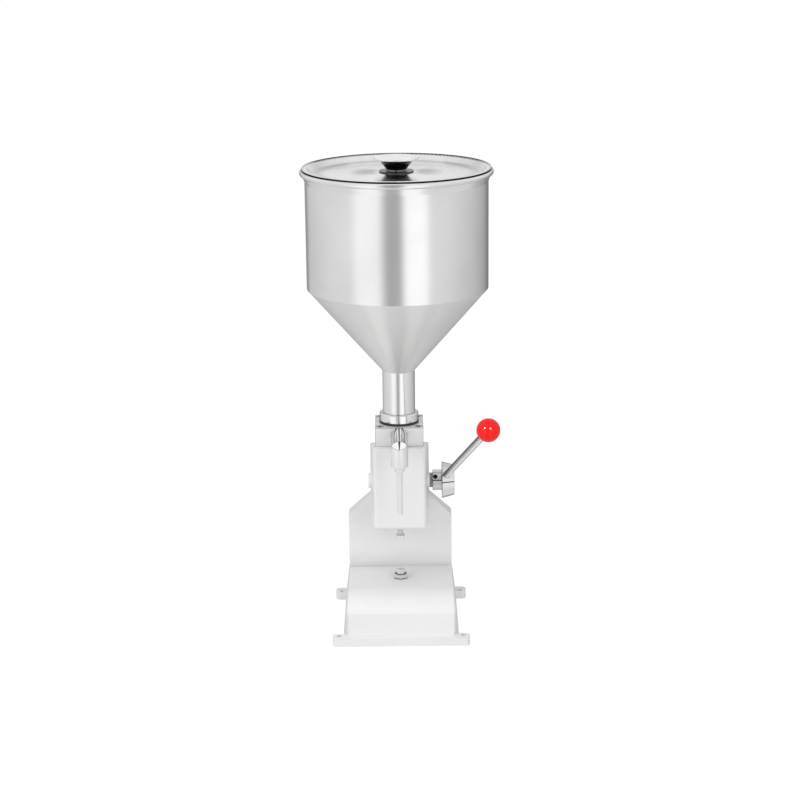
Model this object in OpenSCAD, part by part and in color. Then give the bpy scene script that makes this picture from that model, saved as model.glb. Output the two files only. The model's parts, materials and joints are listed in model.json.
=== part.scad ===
// Manual piston filler for doughnuts: a steel hopper feeds a valve block, and a side lever
// drives a rack and pinion that lowers and lifts the piston in a cylinder below the block.
// X runs to the lever side, Y runs away from the nozzle, Z is up, and the origin lies on the
// piston's axis at the underside of the base. Lengths are in millimetres.

/* [Base] */
// Width of the seat band and of the column
base_w = 150; // [130:1:180]
// Half width of the base body where it meets the foot flange
base_foot_half_w = 82; // [78:0.5:90]
// Height of the seat above the table
seat_z = 67.4; // [55:0.2:90]
// Distance from the piston axis to the front foot of the base body
base_front_l = 90; // [80:1:110]
// Distance from the piston axis to the back of the base body
base_back = 96; // [90:1:120]
// Wall thickness of the base casting
base_wall = 7; // [5:0.5:10]
// Radius of the rolled front edge of the seat
front_roll_r = 52.2; // [44:0.2:54]
// Distance from the piston axis to where the seat starts to roll down
seat_front = 43.5; // [36:0.5:50]
// Height of the crease between the rolled edge and the front plane
crease_z = 42.5; // [36:0.5:50]
// Thickness of the foot flange
foot_t = 12; // [8:0.5:16]
// Wall between a counter bolt's hole and the edge of its ear
ear_margin = 5.75; // [4:0.25:9]
// Depth of a bolting ear along Y
ear_d = 20; // [16:1:24]
// How far the foot flange stands out in front of and behind the body
foot_lip = 10; // [6:0.5:14]
// Corner radius of the ears
ear_r = 7; // [3:0.5:9]
// Diameter of the holes that bolt the base to a counter
foot_hole_d = 7.5; // [6:0.5:9]
// Distance between the base body's foot and the edge of a counter bolt's hole
foot_hole_gap = 2.25; // [1:0.25:5]

/* [Column and head] */
// Distance from the piston axis to the column's front surface
column_y = 33; // [30:0.5:36]
// Height where the column's front surface starts to roll back
column_roll_z = 105; // [95:1:115]
// Radius of the column's rolled front surface
column_roll_r = 54.6; // [50:0.2:70]
// Thickness of the column's plate and ribs
column_wall = 8; // [6:0.5:10]
// Depth of the column's ribs at the seat, from the piston axis
column_back = 95; // [88:0.5:100]
// Height of the column's square shoulders
shoulder_z = 151; // [140:1:160]
// Half width of the spine behind the head
spine_half_w = 30; // [24:0.5:33]
// Height of the head's underside above the seat
throat_h = 87.6; // [80:0.2:96]
// Height of the head casting
head_h = 121; // [119:0.5:127]
// Half width of the head at its front face
head_half_w = 37.4; // [36:0.2:40]
// Half width of the head where its sides end at the back
head_back_half_w = 41.5; // [38:0.5:44]
// Distance from the piston axis to the head's front face
head_front = 45; // [44:0.5:50]
// Edge radius of the head casting
head_edge_r = 5; // [2:0.5:7]
// Half width of the boss behind the head
boss_half_w = 34; // [33:0.5:37]

/* [Valve block and spout] */
// Height of the valve block
block_h = 27; // [26.5:0.5:32]
// Half width of the valve block
block_half_w = 34; // [34:0.5:36]
// Half depth of the valve block
block_half_d = 35; // [34:0.5:38]
// Diameter of the valve chamber
chamber_d = 38; // [36:0.5:40]
// Diameter of the throat between cylinder and chamber
throat_d = 24; // [22:0.5:26]
// Diameter of the inlet ball
inlet_ball_d = 16; // [15:0.5:17]
// How far the inlet ball lifts to its seat
inlet_lift = 3.4; // [2.5:0.1:4.5]
// Diameter of the spout's pipe
spout_d = 24; // [22:0.5:26]
// Diameter of the passage through the spout
spout_bore_d = 9; // [8:0.5:10]
// Distance from the piston axis to the nozzle's axis
nozzle_y = 101.5; // [85:0.5:120]
// Length of the slanted middle piece of the spout's elbow
spout_mitre_l = 3.6; // [2:0.1:8]
// Length of the thin nozzle tube
nozzle_tube_l = 61; // [30:1:90]
// Outside diameter of the nozzle tube
nozzle_tube_d = 8; // [6:0.5:10]
// Bore of the nozzle tube
nozzle_bore_d = 5; // [3:0.5:6]
// Diameter of the outlet ball
outlet_ball_d = 8; // [7:0.5:8.5]

/* [Piston drive] */
// Bore of the cylinder sleeve
cylinder_d = 42; // [40:0.5:43]
// Wall of the cylinder sleeve
sleeve_wall = 3; // [2:0.5:4]
// Stroke of the piston
stroke = 34; // [28:1:36]
// Height of the piston
piston_h = 10.5; // [9.5:0.5:12]
// Diameter of the rack rod
rod_d = 16; // [15:0.5:17]
// Diameter of the rod's lower stem
stem_d = 8; // [7:0.5:9]
// How far the stem's end hangs below the head at rest
stem_out = 22; // [20:0.5:30]
// Module of the gear teeth
gear_m = 1.5; // [1.4:0.05:1.5]
// Number of teeth on the pinion
pinion_teeth = 22; // [21:1:22]
// Width of the pinion's teeth
pinion_w = 12; // [8:0.5:14]
// Diameter of the drive shaft
shaft_d = 14; // [12:0.5:15]

/* [Lever] */
// Height of the lever above the horizontal at rest, in degrees
lever_rise = 35.6; // [20:0.1:60]
// Outward lean of the lever, in degrees
lever_lean = 15.5; // [8:0.5:20]
// Distance of the ball knob's centre from the shaft's axis
lever_reach = 210; // [150:1:260]
// Diameter of the lever rod
lever_d = 10; // [8:0.5:12]
// Diameter of the ball knob
knob_ball_d = 32; // [26:0.5:40]
// Diameter of the hub's collar
collar_d = 29.5; // [28:0.5:34]
// Length of the hub's collar
collar_l = 13.3; // [11:0.1:18]
// Largest diameter of the hub's cone
hub_cone_d = 52.5; // [46:0.5:56]
// Smallest diameter of the hub's cone
hub_cone_end_d = 43; // [38:0.5:48]
// Length of the hub's cone
hub_cone_l = 17.3; // [15:0.1:22]

/* [Volume stop] */
// Diameter of the volume screw
volume_screw_d = 12; // [10:0.5:14]
// How far the volume screw stands above the seat
volume_screw_out = 12.6; // [8:0.2:20]
// Height of the locknut
locknut_h = 6; // [5:0.5:8]
// Width of the locknut across its flats
locknut_af = 19; // [18:0.5:24]

/* [Hopper] */
// Outside diameter of the hopper
hopper_d = 254; // [200:1:300]
// Sheet thickness of the hopper and of its lid
sheet_t = 1; // [0.8:0.1:1.5]
// Height of the hopper's straight body
hopper_body_h = 166; // [120:1:260]
// Height of the hopper's cone
cone_h = 120; // [90:1:160]
// Outside diameter of the hopper's neck
neck_d = 46; // [42:0.5:48]
// Length of the hopper's neck
neck_h = 70; // [40:1:110]
// Diameter of the rolled rim
rim_bead_d = 8.4; // [6:0.2:10]
// Diameter of the polished collar that holds the neck
ring_d = 55; // [53:0.5:60]
// Height of the collar above its seal
ring_h = 11.5; // [9:0.5:16]
// Thickness of the black seal below the collar
seal_t = 3.5; // [2:0.5:5]

/* [Lid] */
// How far the lid's edge reaches beyond the hopper's wall
lid_reach = 4; // [3:0.1:5]
// Diameter of the curl at the lid's edge
lid_curl_d = 2.4; // [2:0.1:3.5]
// Width of the sloped step between the lid's flange and its dish
lid_slope_w = 6.4; // [3:0.2:14]
// Depth of the lid's dish below its flange
lid_dish = 7; // [2:0.5:10]
// Rise of the lid's centre above the dish's edge
lid_crown = 1.5; // [0.5:0.5:6]
// Diameter of the knob's top
knob_top_d = 64; // [50:1:80]
// Height of the knob above its washer
knob_h = 18.5; // [14:0.5:30]
// Diameter of the knob's neck
knob_neck_d = 28; // [20:0.5:32]
// Diameter of the washer under the knob
knob_washer_d = 48; // [40:1:60]

/* [Hidden] */
$fn = 96;
// Gap between pieces that are pressed, screwed or welded together
press_gap = 0.02;
// Radial gap of pieces that run in each other
run_gap = 0.05;
// Gap between pieces that pass each other without touching
pass_gap = 0.3;
// Side play of turning pieces and the air under the lid
lid_gap = 0.2;
// Overrun of cutting tools past the faces that they cut
over = 1;
// Small thickness of seals and washers
thin = 1;

// Base
base_half_w = base_w / 2;
foot_hole_x = base_foot_half_w + foot_hole_gap + foot_hole_d / 2;
foot_hole_front = base_front_l + foot_lip - ear_d * 0.6;
foot_hole_back = base_back + foot_lip - ear_d * 0.7;
ear_half_w = foot_hole_x + foot_hole_d / 2 + ear_margin;
base_top_in = seat_z - base_wall;
roll_cz = seat_z - front_roll_r;
crease_y = seat_front + sqrt(pow(front_roll_r, 2) - pow(crease_z - roll_cz, 2));
band_proud = 3.5;
corner_slant_l = 26;
rib_t = 8;
rib_top = 25;
stop_boss_d = 26;
stop_boss_h = 14;
bolt_d = 8;
bolt_head_d = 13;
bolt_head_h = 8;
bolt_key_d = 6;
bolt_boss_d = 20;
bolt_boss_h = 10;
bolt_x = 45;
bolt_ys = [column_y + column_roll_r * 0.6, column_back - bolt_head_d];

// Column and head
head_z = seat_z + throat_h;
head_top = head_z + head_h;
spine_top = head_top - head_edge_r;
spine_y = column_y + 2 * column_wall;
taper_top_z = shoulder_z + base_half_w - spine_half_w;
head_side_back = -13;
head_floor = 6;
cavity_half_w = 16;
boss_back = column_y + 2;

// Piston drive
pitch_r = gear_m * pinion_teeth / 2;
pinion_r = pitch_r + gear_m;
root_depth = 1.25 * gear_m;
backlash = 0.24;
pressure_angle = 20;
tooth_pitch = PI * gear_m;
rack_y = -rod_d / 4;
shaft_y = rack_y - pitch_r;
sleeve_sink = 9;
sleeve_top = head_top + sleeve_sink;
piston_top = sleeve_top - pass_gap;
piston_z = piston_top - piston_h;
sleeve_z = piston_z - stroke - pass_gap;
sleeve_od = cylinder_d + 2 * sleeve_wall;
shaft_z = sleeve_z - pass_gap - pinion_r;
guide_od = 14;
guide_flange_d = 18;
guide_flange_t = 1.5;
rod_end_gap = 1.5;
rod_end_z = head_z + head_floor + guide_flange_t + rod_end_gap + stroke;
stem_end_z = head_z - stem_out;
flat_reach = sqrt(pow(pinion_r, 2) - pow(-shaft_y - rod_d / 2, 2));
tooth_reach = sqrt(pow(pinion_r, 2) - pow(-shaft_y + rack_y - gear_m, 2));
spigot_d = 10;
spigot_l = 7;
oring_t = 2.4;
groove_w = 3;
groove_shares = [0.33, 0.7];
piston_gap = 0.1;
tail_head_d = 13;
tail_head_h = 3;
tail_screw_d = 4;
tail_screw_l = 12;

// Shaft and hub
boss_d = 21;
boss_left_l = 28.6;
boss_right_l = 26.5;
bush_left_l = 25.5;
shaft_left = -cavity_half_w - bush_left_l;
boss_left = -cavity_half_w - boss_left_l;
boss_right = cavity_half_w + boss_right_l;
bush_od = 17;
bush_flange_t = 2;
washer_t = 2.3;
washer_x = boss_right + bush_flange_t;
collar_x = washer_x + washer_t;
cone_x = collar_x + collar_l;
hub_end = cone_x + hub_cone_l;
hub_back_wall = 7;
pinion_hub_d = 24;
pinion_hub_half_l = cavity_half_w - lid_gap;
pin_d = 4;
pin_x = (pinion_w / 2 + pinion_hub_half_l) / 2;
set_screw_d = 6;
set_screw_key_d = 3;
set_screw_off = 3;
lever_seat = 10;
lever_axis_x = cone_x;
lever_len = lever_reach / cos(lever_lean);
ball_hole_depth = 4;

// Valve block and spout
block_z = head_top;
block_top = block_z + block_h;
throat_l = 2;
chamber_z = sleeve_top + throat_l;
cage_t = 1.5;
cage_top = chamber_z + cage_t;
cage_hole_d = 11;
cage_ring_d = 14;
cage_arms = 3;
cage_arm_w = 3;
inlet_hole_d = 12;
inlet_r = inlet_ball_d / 2;
ball_rest_gap = 0.12;
inlet_ball_z = cage_top + sqrt(pow(inlet_r, 2) - pow(cage_hole_d / 2, 2)) + ball_rest_gap;
inlet_seat_z = inlet_ball_z + inlet_lift + sqrt(pow(inlet_r, 2) - pow(inlet_hole_d / 2, 2))
    + ball_rest_gap;
inlet_seat_d = 30;
inlet_seat_t = 3;
block_screw_d = 6;
block_screw_head_d = 10;
block_screw_head_h = 6;
block_screw_key_d = 5;
block_screw_in = 14;
block_screw_side = 6.5;
block_screw_end = 9;
block_screw_x = block_half_w - block_screw_side;
block_screw_y = block_half_d - block_screw_end;
port_z = chamber_z + spout_bore_d / 2 + lid_gap;
spigot_thread_d = 14;
spigot_thread_l = 8;
outlet_hole_d = 5.6;
outlet_spigot_l = 4;
elbow_end_z = port_z - spout_d / 2 - thin / 2;
outlet_seat_z = elbow_end_z - outlet_spigot_l;
outlet_r = outlet_ball_d / 2;
outlet_ball_z = outlet_seat_z - sqrt(pow(outlet_r, 2) - pow(outlet_hole_d / 2, 2)) - ball_rest_gap;
cup_h = 11.5;
cup_z = elbow_end_z - cup_h;
step_h = 8.3;
step_z = cup_z - step_h;
step_d = 17;
step_end_d = 12.5;
spring_seat_h = 1.6;
ball_room_d = outlet_ball_d + 2 * thin;
spring_z = step_z + spring_seat_h;
spring_top = outlet_ball_z - outlet_r - pass_gap;
spring_wire = 0.8;
spring_d = 7.2;
spring_turns = 4;
nozzle_tip = step_z - nozzle_tube_l;

// Hopper and lid
seal_z = block_top;
ring_base_z = seal_z + seal_t;
ring_top = ring_base_z + ring_h;
ring_spigot_l = 6;
neck_seat_h = 2.5;
neck_z = ring_base_z + neck_seat_h;
cone_z = neck_z + neck_h;
seam_z = cone_z + cone_h;
rim_top = seam_z + hopper_body_h;
hopper_r = hopper_d / 2;
neck_r = neck_d / 2;
bead_r = rim_bead_d / 2;
rim_out = 7;
bead_cr = hopper_r + rim_out - bead_r;
lid_z = rim_top + lid_gap;
dish_gap = 1.6;
dish_r = hopper_r - sheet_t - dish_gap;
dish_z = lid_z - lid_dish;
knob_z = dish_z + lid_crown + sheet_t;
knob_washer_t = 1.5;
knob_screw_d = 6;
knob_screw_head_d = 12;
knob_screw_head_h = 3;
knob_screw_in = 10;

// Extrudes a side view, drawn as Y and Z, from x0 to x1
module along_x(x0, x1) {
    translate([x0, 0, 0]) rotate([90, 0, 90]) linear_extrude(x1 - x0) children();
}

// Extrudes a front view, drawn as X and Z, from y0 to y1
module along_y(y0, y1) {
    translate([0, y1, 0]) rotate([90, 0, 0]) linear_extrude(y1 - y0) children();
}

module rod_x(d, x0, x1) {
    translate([x0, 0, 0]) rotate([0, 90, 0]) cylinder(d = d, h = x1 - x0);
}

module rod_y(d, y0, y1) {
    translate([0, y1, 0]) rotate([90, 0, 0]) cylinder(d = d, h = y1 - y0);
}

module rod_z(d, z0, z1) {
    translate([0, 0, z0]) cylinder(d = d, h = z1 - z0);
}

module ring_z(od, id, z0, z1) {
    difference() {
        rod_z(od, z0, z1);
        rod_z(id, z0 - over, z1 + over);
    }
}

// A socket head screw whose head stands on z = 0 and whose shank hangs down
module socket_screw(d, l, head_d, head_h, key_d) {
    difference() {
        union() {
            rod_z(head_d, 0, head_h);
            rod_z(d, -l, head_h / 2);
        }
        translate([0, 0, head_h / 2]) cylinder(d = key_d, h = head_h, $fn = 6);
    }
}

// Side view of the base band, drawn in by an inset on all faces but its floor
module base_side(inset, floor_z) {
    translate([-seat_front, floor_z])
        square([seat_front + base_back - inset, seat_z - inset - floor_z]);
    intersection() {
        translate([-seat_front, roll_cz]) circle(r = front_roll_r - inset);
        translate([-base_front_l, crease_z]) square([base_front_l - seat_front, seat_z - crease_z]);
    }
    polygon([[-base_front_l + inset, floor_z], [-crease_y + inset, crease_z],
        [-seat_front, crease_z], [-seat_front, floor_z]]);
}

// Front view of the flared base body
module base_flare(inset, floor_z) {
    polygon([[-base_foot_half_w + inset, floor_z], [base_foot_half_w - inset, floor_z],
        [base_foot_half_w - inset, foot_t], [base_half_w - inset, seat_z],
        [-base_half_w + inset, seat_z], [-base_foot_half_w + inset, foot_t]]);
}

// Plan of the flared base body, whose front corners are cut back along a slant
module base_plan(inset) {
    front_w = base_half_w - 1.2 * inset;
    side_w = base_foot_half_w - 1.2 * inset;
    slant_end = -base_front_l + corner_slant_l;
    translate([0, 0, -2 * over]) linear_extrude(seat_z + 4 * over)
        polygon([[-front_w, -base_front_l], [front_w, -base_front_l], [side_w, slant_end],
            [side_w, base_back], [-side_w, base_back], [-side_w, slant_end]]);
}

module foot_bar(y0, y1) {
    hull() for (x = [-1, 1], y = [y0 + ear_r, y1 - ear_r])
        translate([x * (ear_half_w - ear_r), y, 0]) cylinder(r = ear_r, h = foot_t, $fn = 32);
}

module at_frame_bolts() {
    for (x = [-bolt_x, bolt_x], y = bolt_ys) translate([x, y, 0]) children();
}

module at_foot_holes() {
    for (x = [-1, 1], y = [-foot_hole_front, foot_hole_back])
        translate([x * foot_hole_x, y, 0]) children();
}

module base_casting() {
    color("whitesmoke") difference() {
        union() {
            difference() {
                union() {
                    along_x(-base_half_w, base_half_w) base_side(0, 0);
                    intersection() {
                        along_x(-2 * ear_half_w, 2 * ear_half_w) base_side(band_proud, 0);
                        along_y(-base_front_l, base_back) base_flare(0, 0);
                        base_plan(0);
                    }
                    foot_bar(-base_front_l - foot_lip, -base_front_l - foot_lip + ear_d);
                    foot_bar(base_back + foot_lip - ear_d, base_back + foot_lip);
                }
                intersection() {
                    along_x(-2 * ear_half_w, 2 * ear_half_w) base_side(band_proud + base_wall, -over);
                    along_y(-base_front_l, base_back) base_flare(base_wall, -over);
                    base_plan(base_wall);
                }
            }
            translate([-base_half_w, -rib_t / 2, 0]) cube([base_w, rib_t, rib_top]);
            rod_z(stop_boss_d, base_top_in - stop_boss_h, seat_z - base_wall / 2);
            at_frame_bolts() rod_z(bolt_boss_d, base_top_in - bolt_boss_h, seat_z - base_wall / 2);
        }
        rod_z(volume_screw_d + 2 * run_gap, rib_top + over, seat_z + over);
        at_frame_bolts() rod_z(bolt_d + 2 * press_gap, base_top_in - bolt_boss_h - over, seat_z + over);
        at_foot_holes() rod_z(foot_hole_d, -over, foot_t + over);
    }
}

// Side view of the column, drawn in by an inset on its front face and foot
module column_side(inset) {
    difference() {
        polygon([[column_y + inset, seat_z + inset], [column_back, seat_z + inset],
            [spine_y, taper_top_z], [spine_y, spine_top], [column_y + inset, spine_top]]);
        difference() {
            translate([column_y, seat_z - over])
                square([column_roll_r, column_roll_z - seat_z + over]);
            translate([column_y + column_roll_r, column_roll_z])
                circle(r = column_roll_r - inset);
        }
    }
}

// Front view of the column, drawn in by an inset on its sides and top
module column_front(inset) {
    half = base_half_w - inset;
    spine = spine_half_w - inset;
    polygon([[-half, seat_z], [half, seat_z], [half, shoulder_z - inset / 2],
        [spine, shoulder_z - inset / 2 + half - spine], [spine, spine_top - inset],
        [-spine, spine_top - inset], [-spine, shoulder_z - inset / 2 + half - spine],
        [-half, shoulder_z - inset / 2]]);
}

module column() {
    difference() {
        intersection() {
            along_y(0, column_back + over) column_front(0);
            along_x(-base_half_w, base_half_w) column_side(0);
        }
        intersection() {
            along_y(0, column_back + base_wall) column_front(column_wall);
            along_x(-base_half_w, base_half_w)
                union() {
                    column_side(column_wall);
                    polygon([[column_back - over, seat_z + column_wall],
                        [column_back + base_wall, seat_z + column_wall],
                        [column_back + base_wall, spine_top], [spine_y - over, spine_top],
                        [spine_y - over, taper_top_z]]);
                }
        }
    }
}

module head_block() {
    front_x = head_half_w - head_edge_r;
    back_x = head_back_half_w - head_edge_r;
    hull() for (side = [-1, 1])
        for (p = [[front_x, -head_front + head_edge_r], [back_x, head_side_back - head_edge_r]])
            translate([side * p[0], p[1], head_z + head_edge_r]) {
                sphere(r = head_edge_r, $fn = 32);
                cylinder(r = head_edge_r, h = head_h - head_edge_r, $fn = 32);
            }
    boss_y = head_side_back - 2 * head_edge_r;
    translate([-boss_half_w, boss_y, head_z + 2 * head_edge_r])
        cube([2 * boss_half_w, boss_back - boss_y, head_h - 2 * head_edge_r]);
}

module at_shaft() {
    translate([0, shaft_y, shaft_z]) children();
}

module at_block_screws() {
    for (x = [-block_screw_x, block_screw_x], y = [-block_screw_y, block_screw_y])
        translate([x, y, 0]) children();
}

module head_casting() {
    color("whitesmoke") difference() {
        union() {
            head_block();
            column();
            at_shaft() rod_x(boss_d, boss_left, boss_right);
        }
        translate([-cavity_half_w, -head_front + sleeve_wall, head_z + head_floor])
            cube([2 * cavity_half_w, head_front + rod_d / 2 + sleeve_wall - over,
                sleeve_z - head_z - head_floor]);
        rod_z(sleeve_od + 2 * press_gap, sleeve_z, head_top + over);
        rod_z(guide_od + 2 * press_gap, head_z - over, head_z + head_floor + over);
        at_shaft() rod_x(bush_od + 2 * press_gap, shaft_left - press_gap, boss_right + over);
        at_block_screws() rod_z(block_screw_d + 2 * press_gap, head_top - block_screw_in, head_top + over);
        at_frame_bolts() rod_z(bolt_d + 2 * pass_gap, seat_z - over, seat_z + column_wall + over);
    }
}

module frame_bolts() {
    color("dimgray") at_frame_bolts() translate([0, 0, seat_z + column_wall])
        socket_screw(bolt_d, column_wall + base_wall + bolt_boss_h, bolt_head_d, bolt_head_h,
            bolt_key_d);
}

module valve_block() {
    color("silver") difference() {
        translate([-block_half_w, -block_half_d, block_z])
            cube([2 * block_half_w, 2 * block_half_d, block_h]);
        rod_z(sleeve_od + 2 * press_gap, block_z - over, sleeve_top);
        rod_z(sleeve_od + 2 * oring_t, sleeve_top - 2 * groove_w, sleeve_top - groove_w);
        rod_z(throat_d, sleeve_top - over, chamber_z + over);
        rod_z(chamber_d, chamber_z, block_top + over);
        translate([0, 0, port_z]) rod_y(spout_bore_d, -block_half_d - over, -chamber_d / 4);
        translate([0, 0, port_z]) rod_y(spigot_thread_d + 2 * press_gap, -block_half_d - over,
            -block_half_d + spigot_thread_l + press_gap);
        at_block_screws() {
            rod_z(block_screw_d + 2 * pass_gap, block_z - over, block_top);
            rod_z(block_screw_head_d + 2 * pass_gap, block_top - block_screw_head_h, block_top + over);
        }
    }
}

module block_screws() {
    color("dimgray") at_block_screws() translate([0, 0, block_top - block_screw_head_h])
        socket_screw(block_screw_d, block_h - block_screw_head_h + block_screw_in - over,
            block_screw_head_d, block_screw_head_h - pass_gap, block_screw_key_d);
}

module cylinder_sleeve() {
    color("silver") ring_z(sleeve_od, cylinder_d, sleeve_z, sleeve_top);
}

// A round seal of diameter t whose inside lies on a cylinder of diameter id
module o_ring(id, t, z) {
    translate([0, 0, z]) rotate_extrude() translate([id / 2 + t / 2, 0]) circle(d = t, $fn = 24);
}

module sleeve_seal() {
    color("black") o_ring(sleeve_od + 2 * press_gap, oring_t - 3 * press_gap,
        sleeve_top - 1.5 * groove_w);
}

module hopper_ring() {
    spigot_r = chamber_d / 2 - press_gap;
    spigot_z = block_top - ring_spigot_l;
    color("silver") rotate_extrude() polygon([[inlet_seat_d / 2 + press_gap, spigot_z],
        [spigot_r, spigot_z], [spigot_r, ring_base_z], [ring_d / 2, ring_base_z],
        [ring_d / 2, ring_top - thin], [ring_d / 2 - thin, ring_top],
        [neck_r + press_gap, ring_top], [neck_r + press_gap, neck_z],
        [neck_r - 2 * sheet_t, neck_z], [inlet_seat_d / 2 - thin, inlet_seat_z + inlet_seat_t],
        [inlet_seat_d / 2 + press_gap, inlet_seat_z + inlet_seat_t]]);
}

module hopper_seal() {
    color("black") ring_z(ring_d + thin, chamber_d + 2 * press_gap, seal_z, ring_base_z);
}

module hopper() {
    slope_t = sheet_t * sqrt(pow(hopper_r - neck_r, 2) + pow(cone_h, 2)) / cone_h;
    color("silver") rotate_extrude($fn = 144) {
        polygon([[neck_r, neck_z], [neck_r, cone_z], [hopper_r, seam_z],
            [hopper_r, rim_top - 2 * rim_bead_d], [bead_cr, rim_top - rim_bead_d],
            [bead_cr, rim_top - bead_r], [hopper_r - sheet_t, rim_top - bead_r],
            [hopper_r - sheet_t, seam_z + sheet_t / 2], [neck_r - slope_t, cone_z + sheet_t / 2],
            [neck_r - slope_t, neck_z]]);
        translate([bead_cr, rim_top - bead_r]) circle(d = rim_bead_d, $fn = 32);
    }
}

module inlet_valve_seat() {
    color("gainsboro") ring_z(inlet_seat_d, inlet_hole_d, inlet_seat_z, inlet_seat_z + inlet_seat_t);
}

module valve_cage() {
    color("gainsboro") {
        ring_z(cage_ring_d, cage_hole_d, chamber_z, cage_top);
        ring_z(chamber_d - 2 * run_gap, throat_d, chamber_z, cage_top);
        for (i = [0 : cage_arms - 1]) rotate([0, 0, 90 + i * 360 / cage_arms])
            translate([(cage_ring_d + cage_hole_d) / 4, -cage_arm_w / 2, chamber_z])
                cube([throat_d / 2 + thin - (cage_ring_d + cage_hole_d) / 4, cage_arm_w, cage_t]);
    }
}

module inlet_ball() {
    color("silver") translate([0, 0, inlet_ball_z]) sphere(d = inlet_ball_d);
}

// The space between the two mitre planes of the elbow, round its slanted middle piece
module elbow_wedge(d) {
    inner = spout_mitre_l * (1 + sqrt(2)) / 2;
    reach = 2 * d;
    across = reach * tan(67.5);
    along_x(-d, d) translate([-nozzle_y, port_z])
        polygon([[inner, -inner], [inner - reach, across - inner], [inner - across, reach - inner]]);
}

// The space on one side of the plane that halves the elbow
module elbow_half(d, side) {
    translate([0, -nozzle_y, port_z]) rotate([45, 0, 0]) translate([-d, 2 * d * (side - 1), -2 * d])
        cube([2 * d, 4 * d, 4 * d]);
}

// The spout's path from the block to the nozzle, as a pipe of diameter d with a mitred elbow
module spout_path(d, y_start, z_end) {
    difference() {
        translate([0, 0, port_z]) rod_y(d, -nozzle_y - d, y_start);
        elbow_wedge(d);
        elbow_half(d, -1);
    }
    intersection() {
        translate([0, -nozzle_y, port_z - spout_mitre_l / sqrt(2)]) rotate([-45, 0, 0])
            rod_z(d, -2 * d, 2 * d);
        elbow_wedge(d);
    }
    difference() {
        translate([0, -nozzle_y, 0]) rod_z(d, z_end, port_z + d);
        elbow_wedge(d);
        elbow_half(d, 1);
    }
}

module spout_elbow() {
    face = -block_half_d - thin;
    color("silver") difference() {
        union() {
            spout_path(spout_d, face, elbow_end_z - press_gap);
            translate([0, 0, port_z]) rod_y(spigot_thread_d, face - thin, -block_half_d + spigot_thread_l);
            translate([0, -nozzle_y, 0]) rod_z(spigot_thread_d, outlet_seat_z, elbow_end_z + thin);
        }
        spout_path(spout_bore_d, -block_half_d + spigot_thread_l + over, elbow_end_z - thin);
        translate([0, -nozzle_y, 0]) rod_z(outlet_hole_d, outlet_seat_z - over, elbow_end_z);
    }
}

module spout_seal() {
    color("black") translate([0, 0, port_z]) difference() {
        rod_y(spout_d - thin, -block_half_d - thin, -block_half_d);
        rod_y(spigot_thread_d + 2 * press_gap, -block_half_d - 2 * thin, -block_half_d + over);
    }
}

module outlet_ball() {
    color("silver") translate([0, -nozzle_y, outlet_ball_z]) sphere(d = outlet_ball_d);
}

// A wound wire spring as one swept tube with closed-off ends
module coil(d, wire, turns, z0, z1) {
    sides = 6;
    steps = 20;
    n = turns * steps;
    rise = (z1 - z0 - wire) / n;
    points = [for (i = [0 : n], k = [0 : sides - 1])
        let (a = 360 * i / steps, b = 360 * k / sides, r = d / 2 - wire / 2 + wire / 2 * cos(b))
            [r * cos(a), r * sin(a), z0 + wire / 2 + rise * i + wire / 2 * sin(b)]];
    walls = [for (i = [0 : n - 1], k = [0 : sides - 1])
        let (p = i * sides + k, q = i * sides + (k + 1) % sides)
            each [[p, q + sides, q], [p, p + sides, q + sides]]];
    start = [for (k = [1 : sides - 2]) [0, k, k + 1]];
    finish = [for (k = [1 : sides - 2]) [n * sides, n * sides + k + 1, n * sides + k]];
    polyhedron(points, concat(walls, start, finish));
}

module outlet_spring() {
    color("lightgray") translate([0, -nozzle_y, 0])
        coil(spring_d, spring_wire, spring_turns, spring_z, spring_top);
}

module nozzle() {
    color("lightgray") translate([0, -nozzle_y, 0]) difference() {
        rotate_extrude() polygon([[0, cup_z + cup_h - press_gap], [spout_d / 2, cup_z + cup_h - press_gap],
            [spout_d / 2, cup_z], [step_d / 2, cup_z], [step_end_d / 2, step_z],
            [nozzle_tube_d / 2, step_z], [nozzle_tube_d / 2, nozzle_tip], [0, nozzle_tip]]);
        rod_z(nozzle_bore_d, nozzle_tip - over, spring_z + over);
        rod_z(ball_room_d, spring_z, cup_z + cup_h);
        rod_z(spigot_thread_d + 2 * press_gap, outlet_seat_z - thin, cup_z + cup_h + over);
    }
}

module shaft_bush_left() {
    color("peru") at_shaft() difference() {
        rod_x(bush_od, shaft_left, -cavity_half_w);
        rod_x(shaft_d + 2 * run_gap, shaft_left - over, -cavity_half_w + over);
    }
}

module shaft_bush_right() {
    color("peru") at_shaft() difference() {
        union() {
            rod_x(bush_od, cavity_half_w, boss_right + thin);
            rod_x(boss_d, boss_right, washer_x);
        }
        rod_x(shaft_d + 2 * run_gap, cavity_half_w - over, washer_x + over);
    }
}

module rod_guide_bush() {
    color("peru") difference() {
        union() {
            rod_z(guide_od, head_z, head_z + head_floor + thin / 2);
            rod_z(guide_flange_d, head_z + head_floor, head_z + head_floor + guide_flange_t);
        }
        rod_z(stem_d + 2 * run_gap, head_z - over, head_z + head_floor + guide_flange_t + over);
    }
}

module volume_screw() {
    top = seat_z + volume_screw_out;
    color("silver") difference() {
        union() {
            rod_z(volume_screw_d, rib_top + stop_boss_h - 2 * thin, top - thin);
            translate([0, 0, top - thin])
                cylinder(d1 = volume_screw_d, d2 = volume_screw_d - 2 * thin, h = thin);
        }
        translate([-volume_screw_d, -thin, top - 2 * thin]) cube([2 * volume_screw_d, 2 * thin, 3 * thin]);
    }
}

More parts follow.
